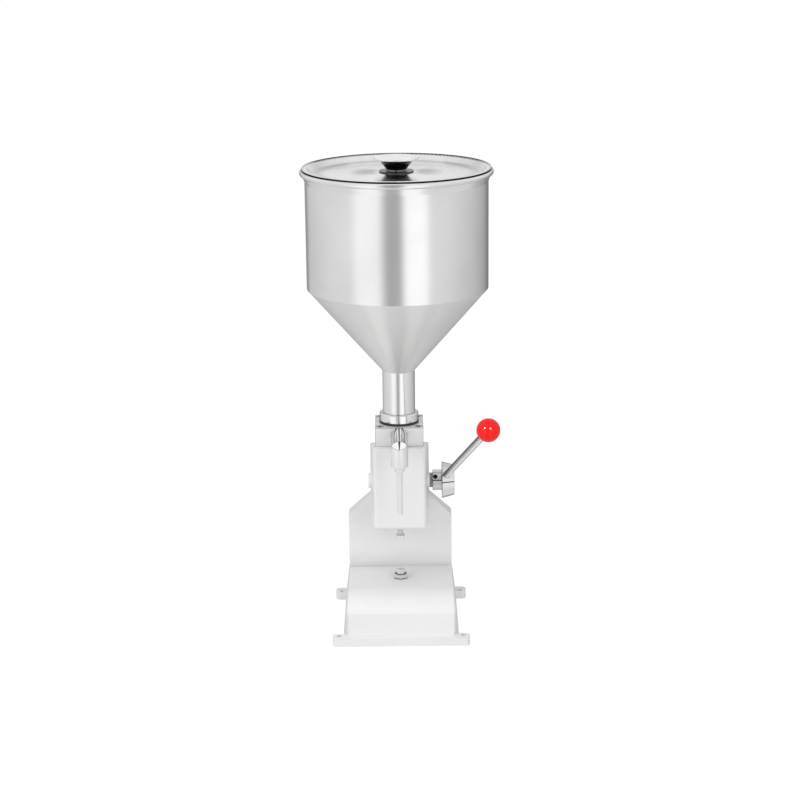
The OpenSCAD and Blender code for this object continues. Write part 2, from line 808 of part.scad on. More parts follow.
module locknut() {
    corner_d = locknut_af / cos(30);
    color("silver") difference() {
        intersection() {
            rotate([0, 0, 30]) translate([0, 0, seat_z]) cylinder(d = corner_d, h = locknut_h, $fn = 6);
            translate([0, 0, seat_z])
                cylinder(d1 = corner_d + locknut_h, d2 = corner_d - thin, h = locknut_h);
        }
        rod_z(volume_screw_d + 2 * run_gap, seat_z - over, seat_z + locknut_h + over);
    }
}

module drive_shaft() {
    color("silver") at_shaft() difference() {
        rod_x(shaft_d, shaft_left + 2 * run_gap, hub_end - hub_back_wall - press_gap);
        translate([pin_x, 0, 0]) rod_z(pin_d + 2 * press_gap, -shaft_d, shaft_d);
    }
}

function involute(a) = tan(a) - a * PI / 180;

// Half the angle that a tooth takes up at radius r
function tooth_half(r) =
    let (base = pitch_r * cos(pressure_angle))
        ((tooth_pitch / 2 - backlash) / (2 * pitch_r) + involute(pressure_angle)
            - involute(acos(min(1, base / r)))) * 180 / PI;

module pinion_outline() {
    steps = 5;
    base = pitch_r * cos(pressure_angle);
    root = pitch_r - root_depth;
    radii = concat([root], [for (i = [0 : steps]) base + (pinion_r - base) * i / steps]);
    polygon([for (k = [0 : pinion_teeth - 1]) let (mid = (k + 0.5) * 360 / pinion_teeth)
        each concat([for (r = radii) let (a = mid - tooth_half(r)) r * [cos(a), sin(a)]],
            [for (i = [len(radii) - 1 : -1 : 0]) let (a = mid + tooth_half(radii[i]))
                radii[i] * [cos(a), sin(a)]])]);
}

module pinion() {
    color("darkgray") at_shaft() difference() {
        union() {
            along_x(-pinion_w / 2, pinion_w / 2) pinion_outline();
            rod_x(pinion_hub_d, -pinion_hub_half_l, pinion_hub_half_l);
        }
        rod_x(shaft_d + 2 * press_gap, -cavity_half_w - over, cavity_half_w + over);
        translate([pin_x, 0, 0]) rod_z(pin_d + 2 * press_gap, -pinion_hub_d, pinion_hub_d);
    }
}

module pinion_pin() {
    color("dimgray") at_shaft() translate([pin_x, 0, 0])
        rod_z(pin_d, -pinion_hub_d / 2 + thin / 2, pinion_hub_d / 2 - thin / 2);
}

module shaft_washer() {
    color("dimgray") at_shaft() difference() {
        rod_x(boss_d, washer_x + run_gap, collar_x);
        rod_x(shaft_d + 2 * run_gap, washer_x - over, collar_x + over);
    }
}

// Turns a piece that is drawn along +Z so that it lies along the lever's radial direction
module to_lever() {
    at_shaft() rotate([90 - lever_rise, 0, 0]) children();
}

module lever_hub() {
    color("silver") difference() {
        at_shaft() union() {
            rod_x(collar_d, collar_x, cone_x + thin);
            translate([cone_x, 0, 0]) rotate([0, 90, 0])
                cylinder(d1 = hub_cone_d, d2 = hub_cone_end_d, h = hub_cone_l);
        }
        at_shaft() rod_x(shaft_d + 2 * press_gap, collar_x - over, hub_end - hub_back_wall);
        to_lever() translate([(collar_x + cone_x) / 2 - set_screw_off, 0, 0])
            rod_z(set_screw_d + 2 * press_gap, 0, collar_d);
        to_lever() translate([lever_axis_x, 0, 0]) rotate([0, lever_lean, 0])
            rod_z(lever_d + 2 * press_gap, lever_seat, hub_cone_d);
    }
}

module hub_set_screw() {
    color("black") to_lever() translate([(collar_x + cone_x) / 2 - set_screw_off, 0, 0]) difference() {
        rod_z(set_screw_d, shaft_d / 2 + press_gap, collar_d / 2 - pass_gap);
        translate([0, 0, collar_d / 2 - 3 * thin]) cylinder(d = set_screw_key_d, h = collar_d, $fn = 6);
    }
}

module lever_rod() {
    color("silver") to_lever() translate([lever_axis_x, 0, 0]) rotate([0, lever_lean, 0])
        rod_z(lever_d, lever_seat + press_gap, lever_len + ball_hole_depth - press_gap);
}

module ball_knob() {
    color("red") to_lever() translate([lever_axis_x, 0, 0]) rotate([0, lever_lean, 0]) difference() {
        translate([0, 0, lever_len]) sphere(d = knob_ball_d);
        rod_z(lever_d + 2 * press_gap, lever_len - knob_ball_d, lever_len + ball_hole_depth);
    }
}

module rack_rod() {
    face_y = rack_y - gear_m;
    first = shaft_z - tooth_pitch * (0.5 + floor(tooth_reach / tooth_pitch));
    gaps = 1 + floor((shaft_z + stroke + tooth_reach - first) / tooth_pitch);
    slope = tan(pressure_angle);
    tip_half = tooth_pitch / 4 + backlash / 4 + gear_m * slope;
    root_half = tooth_pitch / 4 + backlash / 4 - root_depth * slope;
    color("lightgray") difference() {
        union() {
            rod_z(rod_d, rod_end_z, piston_z);
            rod_z(stem_d, stem_end_z, rod_end_z + thin);
            rod_z(spigot_d, piston_z - thin, piston_z + spigot_l - press_gap);
        }
        translate([-rod_d, face_y - rod_d, rod_end_z - over])
            cube([2 * rod_d, rod_d, shaft_z + stroke + flat_reach + 2 * thin - rod_end_z + over]);
        along_x(-rod_d, rod_d) for (k = [0 : gaps - 1]) translate([0, first + k * tooth_pitch])
            polygon([[face_y - over, -tip_half - over * slope], [rack_y + root_depth, -root_half],
                [rack_y + root_depth, root_half], [face_y - over, tip_half + over * slope]]);
        rod_z(tail_screw_d + 2 * press_gap, stem_end_z - over, stem_end_z + tail_screw_l + press_gap);
    }
}

module piston() {
    piston_d = cylinder_d - 2 * piston_gap;
    groove_d = cylinder_d - 2 * run_gap - 2 * oring_t - 2 * press_gap;
    half_w = groove_w / 2;
    color("gainsboro") difference() {
        rod_z(piston_d, piston_z, piston_top);
        rod_z(spigot_d + 2 * press_gap, piston_z - over, piston_z + spigot_l);
        for (share = groove_shares) ring_z(cylinder_d + over, groove_d,
            piston_z + share * piston_h - half_w, piston_z + share * piston_h + half_w);
        for (side = [-1, 1]) translate([side * cylinder_d / 4, 0, 0])
            rod_z(pin_d, piston_top - pin_d / 2, piston_top + over);
    }
}

module piston_o_rings() {
    color("black") for (share = groove_shares)
        o_ring(cylinder_d - 2 * run_gap - 2 * oring_t, oring_t, piston_z + share * piston_h);
}

module tail_screw() {
    color("dimgray") difference() {
        union() {
            rod_z(tail_head_d, stem_end_z - tail_head_h, stem_end_z);
            rod_z(tail_screw_d, stem_end_z - thin, stem_end_z + tail_screw_l);
        }
        translate([0, 0, stem_end_z - tail_head_h - over])
            cylinder(d = tail_screw_d, h = over + tail_head_h / 2, $fn = 6);
    }
}

module hopper_lid() {
    lid_r = hopper_r + lid_reach;
    curl_r = lid_curl_d / 2;
    hole_r = knob_screw_d / 2 + pass_gap;
    flat_r = knob_washer_d / 2 + thin;
    color("silver") rotate_extrude($fn = 144) {
        polygon([[hole_r, dish_z + lid_crown], [flat_r, dish_z + lid_crown],
            [dish_r - lid_slope_w, dish_z], [dish_r, lid_z],
            [lid_r - curl_r, lid_z], [lid_r - curl_r, lid_z + sheet_t],
            [dish_r - sheet_t / 2, lid_z + sheet_t], [dish_r - lid_slope_w - sheet_t / 2, dish_z + sheet_t],
            [flat_r, dish_z + lid_crown + sheet_t], [hole_r, dish_z + lid_crown + sheet_t]]);
        translate([lid_r - curl_r, lid_z + curl_r]) circle(r = curl_r, $fn = 24);
    }
}

module lid_knob() {
    z = knob_z + knob_washer_t;
    neck = knob_neck_d / 2;
    top = knob_top_d / 2;
    color("silver") rotate_extrude() polygon([[0, z + knob_screw_in], [knob_screw_d / 2, z + knob_screw_in],
        [knob_screw_d / 2, z], [neck + thin, z], [neck, z + knob_h * 0.12],
        [(neck + top) / 2, z + knob_h * 0.72], [top, z + knob_h - 2 * thin],
        [top, z + knob_h - thin], [top - thin, z + knob_h], [0, z + knob_h]]);
}

module knob_washer() {
    color("dimgray") ring_z(knob_washer_d, knob_screw_d + 2 * pass_gap, knob_z, knob_z + knob_washer_t);
}

module knob_screw() {
    z = dish_z + lid_crown;
    color("dimgray") difference() {
        union() {
            rod_z(knob_screw_head_d, z - knob_screw_head_h, z);
            rod_z(knob_screw_d - 2 * press_gap, z - thin, knob_z + knob_washer_t + knob_screw_in - thin);
        }
        translate([0, 0, z - knob_screw_head_h - over])
            cylinder(d = knob_screw_d, h = over + knob_screw_head_h / 2, $fn = 6);
    }
}

base_casting();
head_casting();
frame_bolts();
valve_block();
block_screws();
cylinder_sleeve();
sleeve_seal();
hopper_ring();
hopper_seal();
hopper();
inlet_valve_seat();
valve_cage();
inlet_ball();
spout_elbow();
spout_seal();
outlet_ball();
outlet_spring();
nozzle();
shaft_bush_left();
shaft_bush_right();
rod_guide_bush();
volume_screw();
locknut();
drive_shaft();
pinion();
pinion_pin();
shaft_washer();
lever_hub();
hub_set_screw();
lever_rod();
ball_knob();
rack_rod();
piston();
piston_o_rings();
tail_screw();
hopper_lid();
lid_knob();
knob_washer();
knob_screw();
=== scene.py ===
import bpy
import json
import math
from mathutils import Matrix, Vector

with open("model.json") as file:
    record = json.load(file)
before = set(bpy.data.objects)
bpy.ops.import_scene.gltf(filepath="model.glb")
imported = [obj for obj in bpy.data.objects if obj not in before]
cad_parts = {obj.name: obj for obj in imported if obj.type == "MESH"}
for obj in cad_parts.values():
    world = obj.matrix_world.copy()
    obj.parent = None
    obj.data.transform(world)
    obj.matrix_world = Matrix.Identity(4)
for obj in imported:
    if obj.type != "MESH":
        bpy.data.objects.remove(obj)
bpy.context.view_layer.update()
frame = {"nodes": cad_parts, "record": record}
nodes = frame["nodes"]
scene = bpy.context.scene


# Places on the part and round it, in metres

def corners(name):
    return [nodes[name].matrix_world @ Vector(corner) for corner in nodes[name].bound_box]


def top_of(name):
    return max(corner.z for corner in corners(name))


def foot_of(name):
    return min(corner.z for corner in corners(name))


def front_of(name):
    return min(corner.y for corner in corners(name))


def reach_of(name):
    return max(abs(corner.x) for corner in corners(name))


def middle_of(name):
    found = corners(name)
    return sum(found, Vector()) / len(found)


# The direction from the part to the front of the set
to_front = Vector((0, -0.96, 0.28))

# Heights of the seam between the hopper's wall and cone, of the cone's foot, and of the painted shadow
# line under the lid's edge
wall_foot = 0.499
cone_foot = 0.379
rim_shadow_line = top_of("hopper") - 0.0005

# Where the lid's painted shadow edge begins, the middle of its curl, and the knob's widest place
lid_shadow_edge = reach_of("hopper_lid") - 0.0009
curl_middle = top_of("hopper_lid") - 0.0012
knob_edge = top_of("lid_knob") - 0.0027

# The spout's pipe, whose slanted middle piece lies between two mitre planes
pipe_r = reach_of("spout_elbow")
pipe_top = top_of("spout_elbow")
pipe_front = front_of("spout_elbow")
middle_piece_l = 0.0036
mitre_slope = math.tan(math.radians(22.5))
facet_h = (middle_piece_l + 2 * pipe_r * mitre_slope) / math.sqrt(2)
leg_top = pipe_top - facet_h

# How far the direction in which the slanted piece's polish ends is tilted back from upright
polish_tilt = math.radians(15)

# Where painted shade lies on the locknut
nut_shade_top = top_of("locknut") - 0.0007
nut_shade_foot = foot_of("locknut") + 0.0009
nut_shade_r = 0.0082

# The floor of the block screws' sockets, the hub's seam over its axis, and its set screw's hole
socket_floor = top_of("block_screws") - 0.0003
hub_seam_rise = 0.0037
set_screw_hole_r = 0.0031

# The camera, and what it looks at
camera_place = Vector((0.0016, -2.739, 1.0838))
camera_target = Vector((0.0016, 0.0, 0.3344))
camera_roll = math.radians(0.61)
camera_lens_mm = 90


# Node trees

WHITE = (1, 1, 1, 1)
# Numbers of the color sockets of a Mix node
MIX_FACTOR, MIX_BELOW, MIX_ABOVE, MIX_RESULT = 0, 6, 7, 2


def grey(brightness):
    return (brightness, brightness, brightness)


def even(scale):
    """The same noise scale along X, Y and Z."""
    return (scale, scale, scale)


class Tree:
    """Short calls that add nodes to the node tree of a material or of the world."""

    def __init__(self, tree):
        self.tree = tree
        self.coords = None

    def add(self, kind):
        return self.tree.nodes.new(kind)

    def feed(self, socket, value):
        """Links a value that is a socket, and sets one that is a constant."""
        if isinstance(value, bpy.types.NodeSocket):
            self.tree.links.new(value, socket)
        else:
            socket.default_value = value

    def node(self, kind, **sockets):
        made = self.add(kind)
        for name, value in sockets.items():
            self.feed(made.inputs[name.replace("_", " ")], value)
        return made

    def place(self, scale=(1, 1, 1), source="Object"):
        """Where the point lies on the part, in metres, or another coordinate, stretched by scale."""
        if self.coords is None:
            self.coords = self.add("ShaderNodeTexCoord")
        mapping = self.node("ShaderNodeMapping", Vector=self.coords.outputs[source], Scale=scale)
        return mapping.outputs["Vector"]

    def parts(self, vector):
        """The X, Y and Z of a vector."""
        split = self.add("ShaderNodeSeparateXYZ")
        self.feed(split.inputs[0], vector)
        return split.outputs["X"], split.outputs["Y"], split.outputs["Z"]

    def normal(self):
        return self.add("ShaderNodeNewGeometry").outputs["Normal"]

    def noise(self, scale, detail=3.0, rough=0.5):
        """Noise with as many cells per metre along X, Y and Z as the scale says."""
        made = self.node("ShaderNodeTexNoise", Vector=self.place(scale), Scale=1.0, Detail=detail,
                         Roughness=rough)
        return made.outputs["Fac"]

    def span(self, value, low, high, at=(0.3, 0.7)):
        """Goes from low to high as the value goes through the range at, and stays there beyond it."""
        made = self.node("ShaderNodeMapRange", Value=value, From_Min=at[0], From_Max=at[1],
                         To_Min=low, To_Max=high)
        return made.outputs["Result"]

    def over(self, value, start, end):
        """Zero up to start, and one from end on."""
        return self.span(value, 0.0, 1.0, at=(start, end))

    def under(self, value, start, end):
        """One up to start, and zero from end on."""
        return self.span(value, 1.0, 0.0, at=(start, end))

    def band(self, value, start, full, fading, end):
        """Zero up to start, one from full to fading, and zero again from end on."""
        return self.times(self.over(value, start, full), self.under(value, fading, end))

    def math(self, op, a, b=0.0, c=0.0):
        made = self.add("ShaderNodeMath")
        made.operation = op
        for socket, value in zip(made.inputs, (a, b, c)):
            self.feed(socket, value)
        return made.outputs[0]

    def size(self, value):
        """The value without its sign."""
        return self.math("ABSOLUTE", value)

    def times(self, product, *others):
        for other in others:
            product = self.math("MULTIPLY", product, other)
        return product

    def rest(self, mask):
        """What a mask leaves over."""
        return self.math("SUBTRACT", 1.0, mask)

    def far_from_axis(self, x, y):
        return self.math("SQRT", self.math("ADD", self.times(x, x), self.times(y, y)))

    def vector(self, op, a, b):
        made = self.add("ShaderNodeVectorMath")
        made.operation = op
        for socket, value in zip(made.inputs, (a, b)):
            self.feed(socket, value)
        return made.outputs["Value" if op in ("DISTANCE", "DOT_PRODUCT") else "Vector"]

    def tint(self, value, dark, light):
        """Goes from dark to light as a noise value goes through its middle range."""
        made = self.node("ShaderNodeValToRGB", Fac=value)
        for mark, position, color in zip(made.color_ramp.elements, (0.3, 0.7), (dark, light)):
            mark.position = position
            mark.color = (*color, 1)
        return made.outputs["Color"]

    def ramp(self, value, stops):
        """A grey that follows the value through stops, each a position and a brightness."""
        made = self.node("ShaderNodeValToRGB", Fac=value)
        marks = made.color_ramp.elements
        while len(marks) < len(stops):
            marks.new(0.5)
        # The marks sort themselves by position, so the colors wait for all positions
        for mark, (position, _) in zip(marks, stops):
            mark.position = position
        for mark, (_, brightness) in zip(marks, stops):
            mark.color = (*grey(brightness), 1)
        return made.outputs["Color"]

    def blend(self, where, below, above):
        """A color with another one laid over it where the mask is one."""
        mix = self.add("ShaderNodeMix")
        mix.data_type = "RGBA"
        self.feed(mix.inputs[MIX_FACTOR], where)
        self.feed(mix.inputs[MIX_BELOW], below)
        self.feed(mix.inputs[MIX_ABOVE], above)
        return mix.outputs[MIX_RESULT]

    def patch(self, where, below, color):
        return self.blend(where, below, (*color, 1))

    def turned_away(self, full, none):
        """One where the surface turns its side to the front of the set, zero where it faces it."""
        return self.under(self.vector("DOT_PRODUCT", self.normal(), to_front), full, none)

    def bump(self, height, depth, strength=1.0, normal=None):
        made = self.node("ShaderNodeBump", Height=height, Distance=depth, Strength=strength)
        if normal is not None:
            self.feed(made.inputs["Normal"], normal)
        return made.outputs["Normal"]

    def soft_edge(self, radius, samples=8):
        made = self.node("ShaderNodeBevel", Radius=radius)
        made.samples = samples
        return made.outputs["Normal"]

    def seen(self):
        """One for what the camera sees, also in reflections and through glass, else zero."""
        rays = self.add("ShaderNodeLightPath")
        mirrored = self.math("MAXIMUM", rays.outputs["Is Glossy Ray"],
                             rays.outputs["Is Transmission Ray"])
        return self.math("MAXIMUM", rays.outputs["Is Camera Ray"], mirrored)

    def two_shaders(self, kind, *inputs):
        """An Add Shader node of two shaders, or a Mix Shader node of a share and two shaders."""
        made = self.add(kind)
        for socket, value in zip(made.inputs, inputs):
            self.feed(socket, value)
        return made.outputs[0]


class Shader(Tree):
    """A material with a Principled shader."""

    def __init__(self, name):
        self.mat = bpy.data.materials.new(name)
        self.mat.use_nodes = True
        super().__init__(self.mat.node_tree)
        self.main = self.tree.nodes["Principled BSDF"]

    def set(self, **values):
        for name, value in values.items():
            self.feed(self.main.inputs[name.replace("_", " ")], value)

    def replace_main(self, surface):
        """Puts a glowing surface in the Principled shader's place."""
        self.tree.nodes.remove(self.main)
        self.feed(self.tree.nodes["Material Output"].inputs["Surface"], surface)
        self.mat.cycles.emission_sampling = "NONE"


# Materials

# Color of the painted shadow lines along rolled rims, where the lid's edge shades the hopper's bead
RIM_SHADOW = grey(0.012)


def steel(name, color, rough, grain, grain_depth=0.00002, spread=0.06, metallic=1.0, flank_shade=None):
    """Stainless steel with fine lines, square to the axis on which the grain is densest."""
    s = Shader(name)
    lines = s.noise(grain, detail=4.0, rough=0.6)
    cloud = s.noise(even(9))
    body = s.tint(cloud, tuple(0.94 * part for part in color), color)
    # Painted dark reflection on the flanks that turn away from the front of the set
    if flank_shade is not None:
        body = s.patch(s.turned_away(0.12, 0.45), body, flank_shade)
    mottle = s.math("ADD", s.times(lines, 0.6), s.times(cloud, 0.4))
    s.set(Metallic=metallic, Base_Color=body)
    s.set(Roughness=s.span(mottle, rough - spread / 2, rough + spread / 2))
    s.set(Normal=s.bump(lines, grain_depth, 0.6))
    return s.mat


def paint():
    """White paint with a faint orange peel."""
    s = Shader("paint_white")
    cloud = s.noise(even(7), detail=4.0)
    peel = s.noise(even(420), detail=1.0)
    s.set(Base_Color=s.tint(cloud, (0.835, 0.835, 0.832), (0.86, 0.86, 0.857)))
    s.set(Roughness=s.span(peel, 0.3, 0.38), Specular_IOR_Level=0.4)
    s.set(Normal=s.bump(peel, 0.00004, 0.3))
    return s.mat


def milled(name, color, dark, rough, grain, edge, metallic=1.0, marks=None):
    """Milled steel with painted dark reflections along its rounded edges, and which may carry marks of
    its own.
    """
    s = Shader(name)
    lines = s.noise(grain, detail=4.0, rough=0.6)
    # The rounded normal leans away from the true one only beside an edge
    round_normal = s.soft_edge(edge)
    edge_shade = s.under(s.vector("DOT_PRODUCT", round_normal, s.normal()), 0.84, 0.992)
    # Painted dark reflection along the edges
    body = s.patch(edge_shade, s.tint(lines, tuple(0.95 * part for part in color), color), dark)
    if marks is not None:
        body = marks(s, body)
    s.set(Metallic=metallic, Base_Color=body)
    s.set(Roughness=s.span(lines, rough - 0.04, rough + 0.04))
    s.set(Normal=s.bump(lines, 0.00001, 0.4, round_normal))
    return s.mat


def hub_marks(s, body):
    """Painted shadow round the set screw's hole, and the dark seam at which the hub is split."""
    screw = middle_of("hub_set_screw")
    shaft = middle_of("drive_shaft")
    arm = s.vector("SUBTRACT", s.place(), (screw.x, shaft.y, shaft.z))
    out = (0.0, screw.y - shaft.y, screw.z - shaft.z)
    off = s.vector("DISTANCE", arm, s.vector("PROJECT", arm, out))
    same_side = s.over(s.vector("DOT_PRODUCT", arm, out), 0.0, 0.00001)
    # Painted shadow in the set screw's hole
    hole_shade = s.times(s.under(off, set_screw_hole_r, set_screw_hole_r + 0.0003), same_side)
    _, back, high = s.parts(arm)
    off_seam = s.size(s.math("SUBTRACT", high, hub_seam_rise))
    slit = s.times(s.under(off_seam, 0.0005, 0.0009), s.under(back, -0.001, 0.0))
    return s.patch(s.math("MAXIMUM", hole_shade, slit), body, grey(0.008))


# Painted reflection bands on the front of the cone: the angle of their middle, and the phase of their
# wave per radian and at that middle
REFLECTION_BAND_MIDDLE = -0.02
REFLECTION_BAND_PACE = 14.0
REFLECTION_BAND_START = 4.4
REFLECTION_BAND_SHARE = 0.3


def hopper_steel(wall_rough=0.145, cone_rough_more=0.26):
    """Satin sheet that is spun round the axis, duller on the drawn cone than on the wall."""
    s = Shader("steel_satin")
    lines = s.noise((25, 25, 1100), detail=4.0, rough=0.6)
    cloud = s.noise(even(9))
    x, y, high = s.parts(s.place())
    cone = s.band(high, cone_foot - 0.001, cone_foot + 0.001, wall_foot - 0.0005, wall_foot + 0.0005)
    # Painted reflection bands, only on the front of the cone
    turn = s.math("ARCTAN2", x, s.times(y, -1.0))
    off_middle = s.size(s.math("SUBTRACT", turn, REFLECTION_BAND_MIDDLE))
    wave = s.math("SINE", s.math("MULTIPLY_ADD", off_middle, REFLECTION_BAND_PACE, REFLECTION_BAND_START))
    front = s.under(s.size(turn), 0.3, 0.5)
    painted_reflection_bands = s.times(wave, front, cone, REFLECTION_BAND_SHARE)
    body = s.tint(s.math("ADD", cloud, painted_reflection_bands), (0.7, 0.7, 0.697), (0.785, 0.785, 0.78))
    s.set(Metallic=1.0)
    # Painted shadow: a dark band along the top of the bead, under the lid's edge
    s.set(Base_Color=s.patch(s.over(high, rim_shadow_line - 0.0003, rim_shadow_line), body, RIM_SHADOW))
    rough = s.math("MULTIPLY_ADD", cone, cone_rough_more, wall_rough)
    s.set(Roughness=s.math("MULTIPLY_ADD", lines, 0.07, rough))
    s.set(Normal=s.bump(lines, 0.00002, 0.6))
    return s.mat


# Distances from the axis where a mark on the lid begins, is full, begins to fade, and ends
STAIN_BAND = (0.024, 0.034, 0.045, 0.066)
DISH_SHADE_BAND = (0.098, 0.106, 0.112, 0.12)


def lid_steel():
    """Bright spun sheet with a painted shadow line round its rolled edge, painted shade on the dish
    ring, and stains beside the knob.
    """
    s = Shader("steel_lid")
    lines = s.noise((18, 18, 400), detail=4.0, rough=0.6)
    x, y, high = s.parts(s.place())
    radius = s.far_from_axis(x, y)
    beside = s.over(s.math("DIVIDE", s.size(x), radius), 0.75, 1.0)
    stain = s.times(beside, s.band(radius, *STAIN_BAND), s.noise((30, 160, 30)))
    # Painted shade on the slope of the pressed dish ring
    dish_shade = s.band(radius, *DISH_SHADE_BAND)
    shade = s.math("MULTIPLY_ADD", stain, -0.75, s.math("MULTIPLY_ADD", dish_shade, -0.16, 0.6))
    cloud = s.times(s.noise((40, 9, 9)), 0.1)
    body = s.tint(s.math("ADD", shade, cloud), grey(0.25), (0.84, 0.84, 0.837))
    # Painted shadow line round the lid's rolled edge, wider on the far side where more of the curl shows
    back = s.over(y, -0.05, 0.06)
    low = s.under(high, curl_middle, curl_middle + 0.0004)
    outward = s.math("MULTIPLY_ADD", back, 0.0014, radius)
    edge = s.times(s.over(outward, lid_shadow_edge - 0.0002, lid_shadow_edge), s.math("MAXIMUM", back, low))
    s.set(Metallic=s.rest(edge), Specular_IOR_Level=0.1, Base_Color=s.patch(edge, body, RIM_SHADOW))
    s.set(Roughness=s.math("MULTIPLY_ADD", edge, 0.4, s.span(lines, 0.13, 0.19)))
    s.set(Normal=s.bump(lines, 0.000012, 0.4))
    return s.mat


def knob_steel():
    """Polished knob, bright on its top, with painted shade on the cone below its edge."""
    s = Shader("steel_knob")
    cloud = s.noise(even(70))
    _, _, high = s.parts(s.place())
    # Painted shade on the cone under the knob's edge
    low = s.under(high, knob_edge - 0.001, knob_edge)
    top = s.tint(cloud, grey(0.72), grey(0.92))
    s.set(Metallic=1.0, Base_Color=s.patch(low, top, (0.13, 0.13, 0.132)))
    s.set(Roughness=s.span(cloud, 0.1, 0.22), Normal=s.bump(cloud, 0.0006, 0.4))
    return s.mat


# Painted lengthwise reflection streaks from the middle of the spout's pipe to its side, as shares of its
# radius
PIPE_REFLECTION_SHARES = [(0.0, 0.05), (0.05, 0.08), (0.1, 0.95), (0.18, 0.95), (0.27, 0.4), (0.34, 0.45),
               (0.4, 0.97), (0.58, 0.97), (0.68, 0.5), (0.8, 0.6), (0.9, 0.12), (1.0, 0.1)]


def elbow_steel(polish_climb=0.0045):
    """Polished pipe with painted lengthwise reflection streaks, a painted highlight with a painted dark
    reflection wedge on the slanted piece, and a blasted satin leg.

    The polish ends on the slanted piece, along an edge that climbs to the pipe's sides."""
    s = Shader("steel_elbow")
    cloud = s.noise(even(60), detail=2.0)
    x, y, high = s.parts(s.place())
    side = s.size(x)
    share = s.math("DIVIDE", side, pipe_r)

    _, turned_back, turned_up = s.parts(s.normal())
    slanted = s.over(s.math("MINIMUM", turned_up, s.times(turned_back, -1.0)), 0.04, 0.1)
    up = math.cos(polish_tilt)
    back = math.sin(polish_tilt)
    polish_end = s.math("MULTIPLY_ADD", s.math("POWER", share, 1.5), polish_climb,
                        leg_top * up + pipe_front * back)
    above_end = s.math("SUBTRACT", s.math("MULTIPLY_ADD", high, up, s.times(y, back)), polish_end)
    facet = s.times(slanted, s.over(above_end, 0.0, 0.0004))
    leg = s.math("MAXIMUM", s.times(s.under(high, leg_top - 0.001, leg_top), s.rest(slanted)),
                 s.math("SUBTRACT", slanted, facet))

    lower_line = s.times(slanted, s.under(s.size(above_end), 0.0003, 0.0008))
    off_mitre = s.math("MULTIPLY_ADD", s.math("SUBTRACT", high, pipe_top), mitre_slope,
                       s.math("SUBTRACT", y, pipe_front + facet_h))
    upper_line = s.under(s.size(off_mitre), 0.0003, 0.0007)
    half_wedge = s.span(high, 0.0003, 0.0014, at=(leg_top, pipe_top))
    reflected_wedge = s.under(s.math("SUBTRACT", side, half_wedge), 0.0, 0.0005)

    # Painted reflection streaks on the polished pipe; the blasted satin leg keeps its own tint
    body = s.blend(leg, s.ramp(share, PIPE_REFLECTION_SHARES), s.tint(cloud, grey(0.74), grey(0.82)))
    # Painted highlight on the slanted piece, and a painted dark reflection wedge down its middle
    body = s.patch(facet, body, grey(0.96))
    body = s.patch(s.times(facet, reflected_wedge), body, grey(0.06))
    body = s.patch(upper_line, body, grey(0.12))
    body = s.patch(s.times(lower_line, 0.6), body, grey(0.3))
    s.set(Metallic=s.rest(s.times(leg, 0.65)), Base_Color=body)
    s.set(Roughness=s.math("MULTIPLY_ADD", leg, 0.28, s.span(cloud, 0.1, 0.14)))
    return s.mat


def locknut_steel():
    """Bright nut, with painted shade round the stop screw and along its foot."""
    s = Shader("steel_locknut")
    grain = s.noise(even(500))
    x, y, high = s.parts(s.place())
    # Painted shade in the recess round the stop screw and along the nut's foot
    round_screw = s.times(s.under(s.far_from_axis(x, y), nut_shade_r, nut_shade_r + 0.0006),
                          s.over(high, nut_shade_top - 0.0002, nut_shade_top))
    along_foot = s.under(high, nut_shade_foot, nut_shade_foot + 0.0004)
    body = s.tint(grain, grey(0.66), grey(0.82))
    s.set(Metallic=0.8)
    s.set(Base_Color=s.patch(s.math("MAXIMUM", round_screw, along_foot), body, grey(0.015)))
    s.set(Roughness=s.span(grain, 0.16, 0.26))
    return s.mat


def socket_screw_steel():
    """Bright heads with painted shade in their sockets."""
    s = Shader("steel_socket_screws")
    grain = s.noise(even(500))
    _, _, high = s.parts(s.place())
    # Painted shade in the socket recess
    socket_shade = s.under(high, socket_floor - 0.0001, socket_floor)
    s.set(Metallic=1.0, Base_Color=s.patch(socket_shade, s.tint(grain, grey(0.5), grey(0.66)), grey(0.01)))
    s.set(Roughness=s.span(grain, 0.25, 0.4))
    return s.mat


# Painted reflection streaks across the lever, from its lower side at 0 to its upper side at 1
LEVER_REFLECTION_SHARES = [(0.0, 0.95), (0.32, 0.85), (0.4, 0.98), (0.46, 0.98), (0.52, 0.42), (0.62, 0.42),
                (0.68, 0.6), (0.74, 0.12), (0.95, 0.12), (1.0, 0.3)]


def lever_steel():
    """Ground rod with painted reflections: dark along its upper side and bright along its lower one."""
    s = Shader("steel_lever")
    grain = s.noise(even(500), detail=2.0)
    along = middle_of("ball_knob") - middle_of("lever_rod")
    upper_side = along.cross(-to_front).normalized()
    turned = s.vector("DOT_PRODUCT", s.place(source="Normal"), upper_side)
    lever_reflections = s.ramp(s.math("MULTIPLY_ADD", turned, 0.5, 0.5), LEVER_REFLECTION_SHARES)
    s.set(Metallic=0.7, Base_Color=lever_reflections, Roughness=s.span(grain, 0.22, 0.32))
    return s.mat


def rubber():
    s = Shader("rubber_black")
    grain = s.noise(even(900))
    s.set(Base_Color=s.tint(grain, grey(0.018), (0.035, 0.035, 0.036)))
    s.set(Roughness=s.span(grain, 0.5, 0.7), Normal=s.bump(grain, 0.0001, 0.4))
    return s.mat


def oxide():
    s = Shader("black_oxide")
    grain = s.noise(even(500), detail=4.0)
    s.set(Metallic=1.0, Base_Color=s.tint(grain, (0.012, 0.012, 0.013), (0.025, 0.025, 0.027)))
    s.set(Roughness=s.span(grain, 0.3, 0.48), Normal=s.bump(grain, 0.00005, 0.4))
    return s.mat


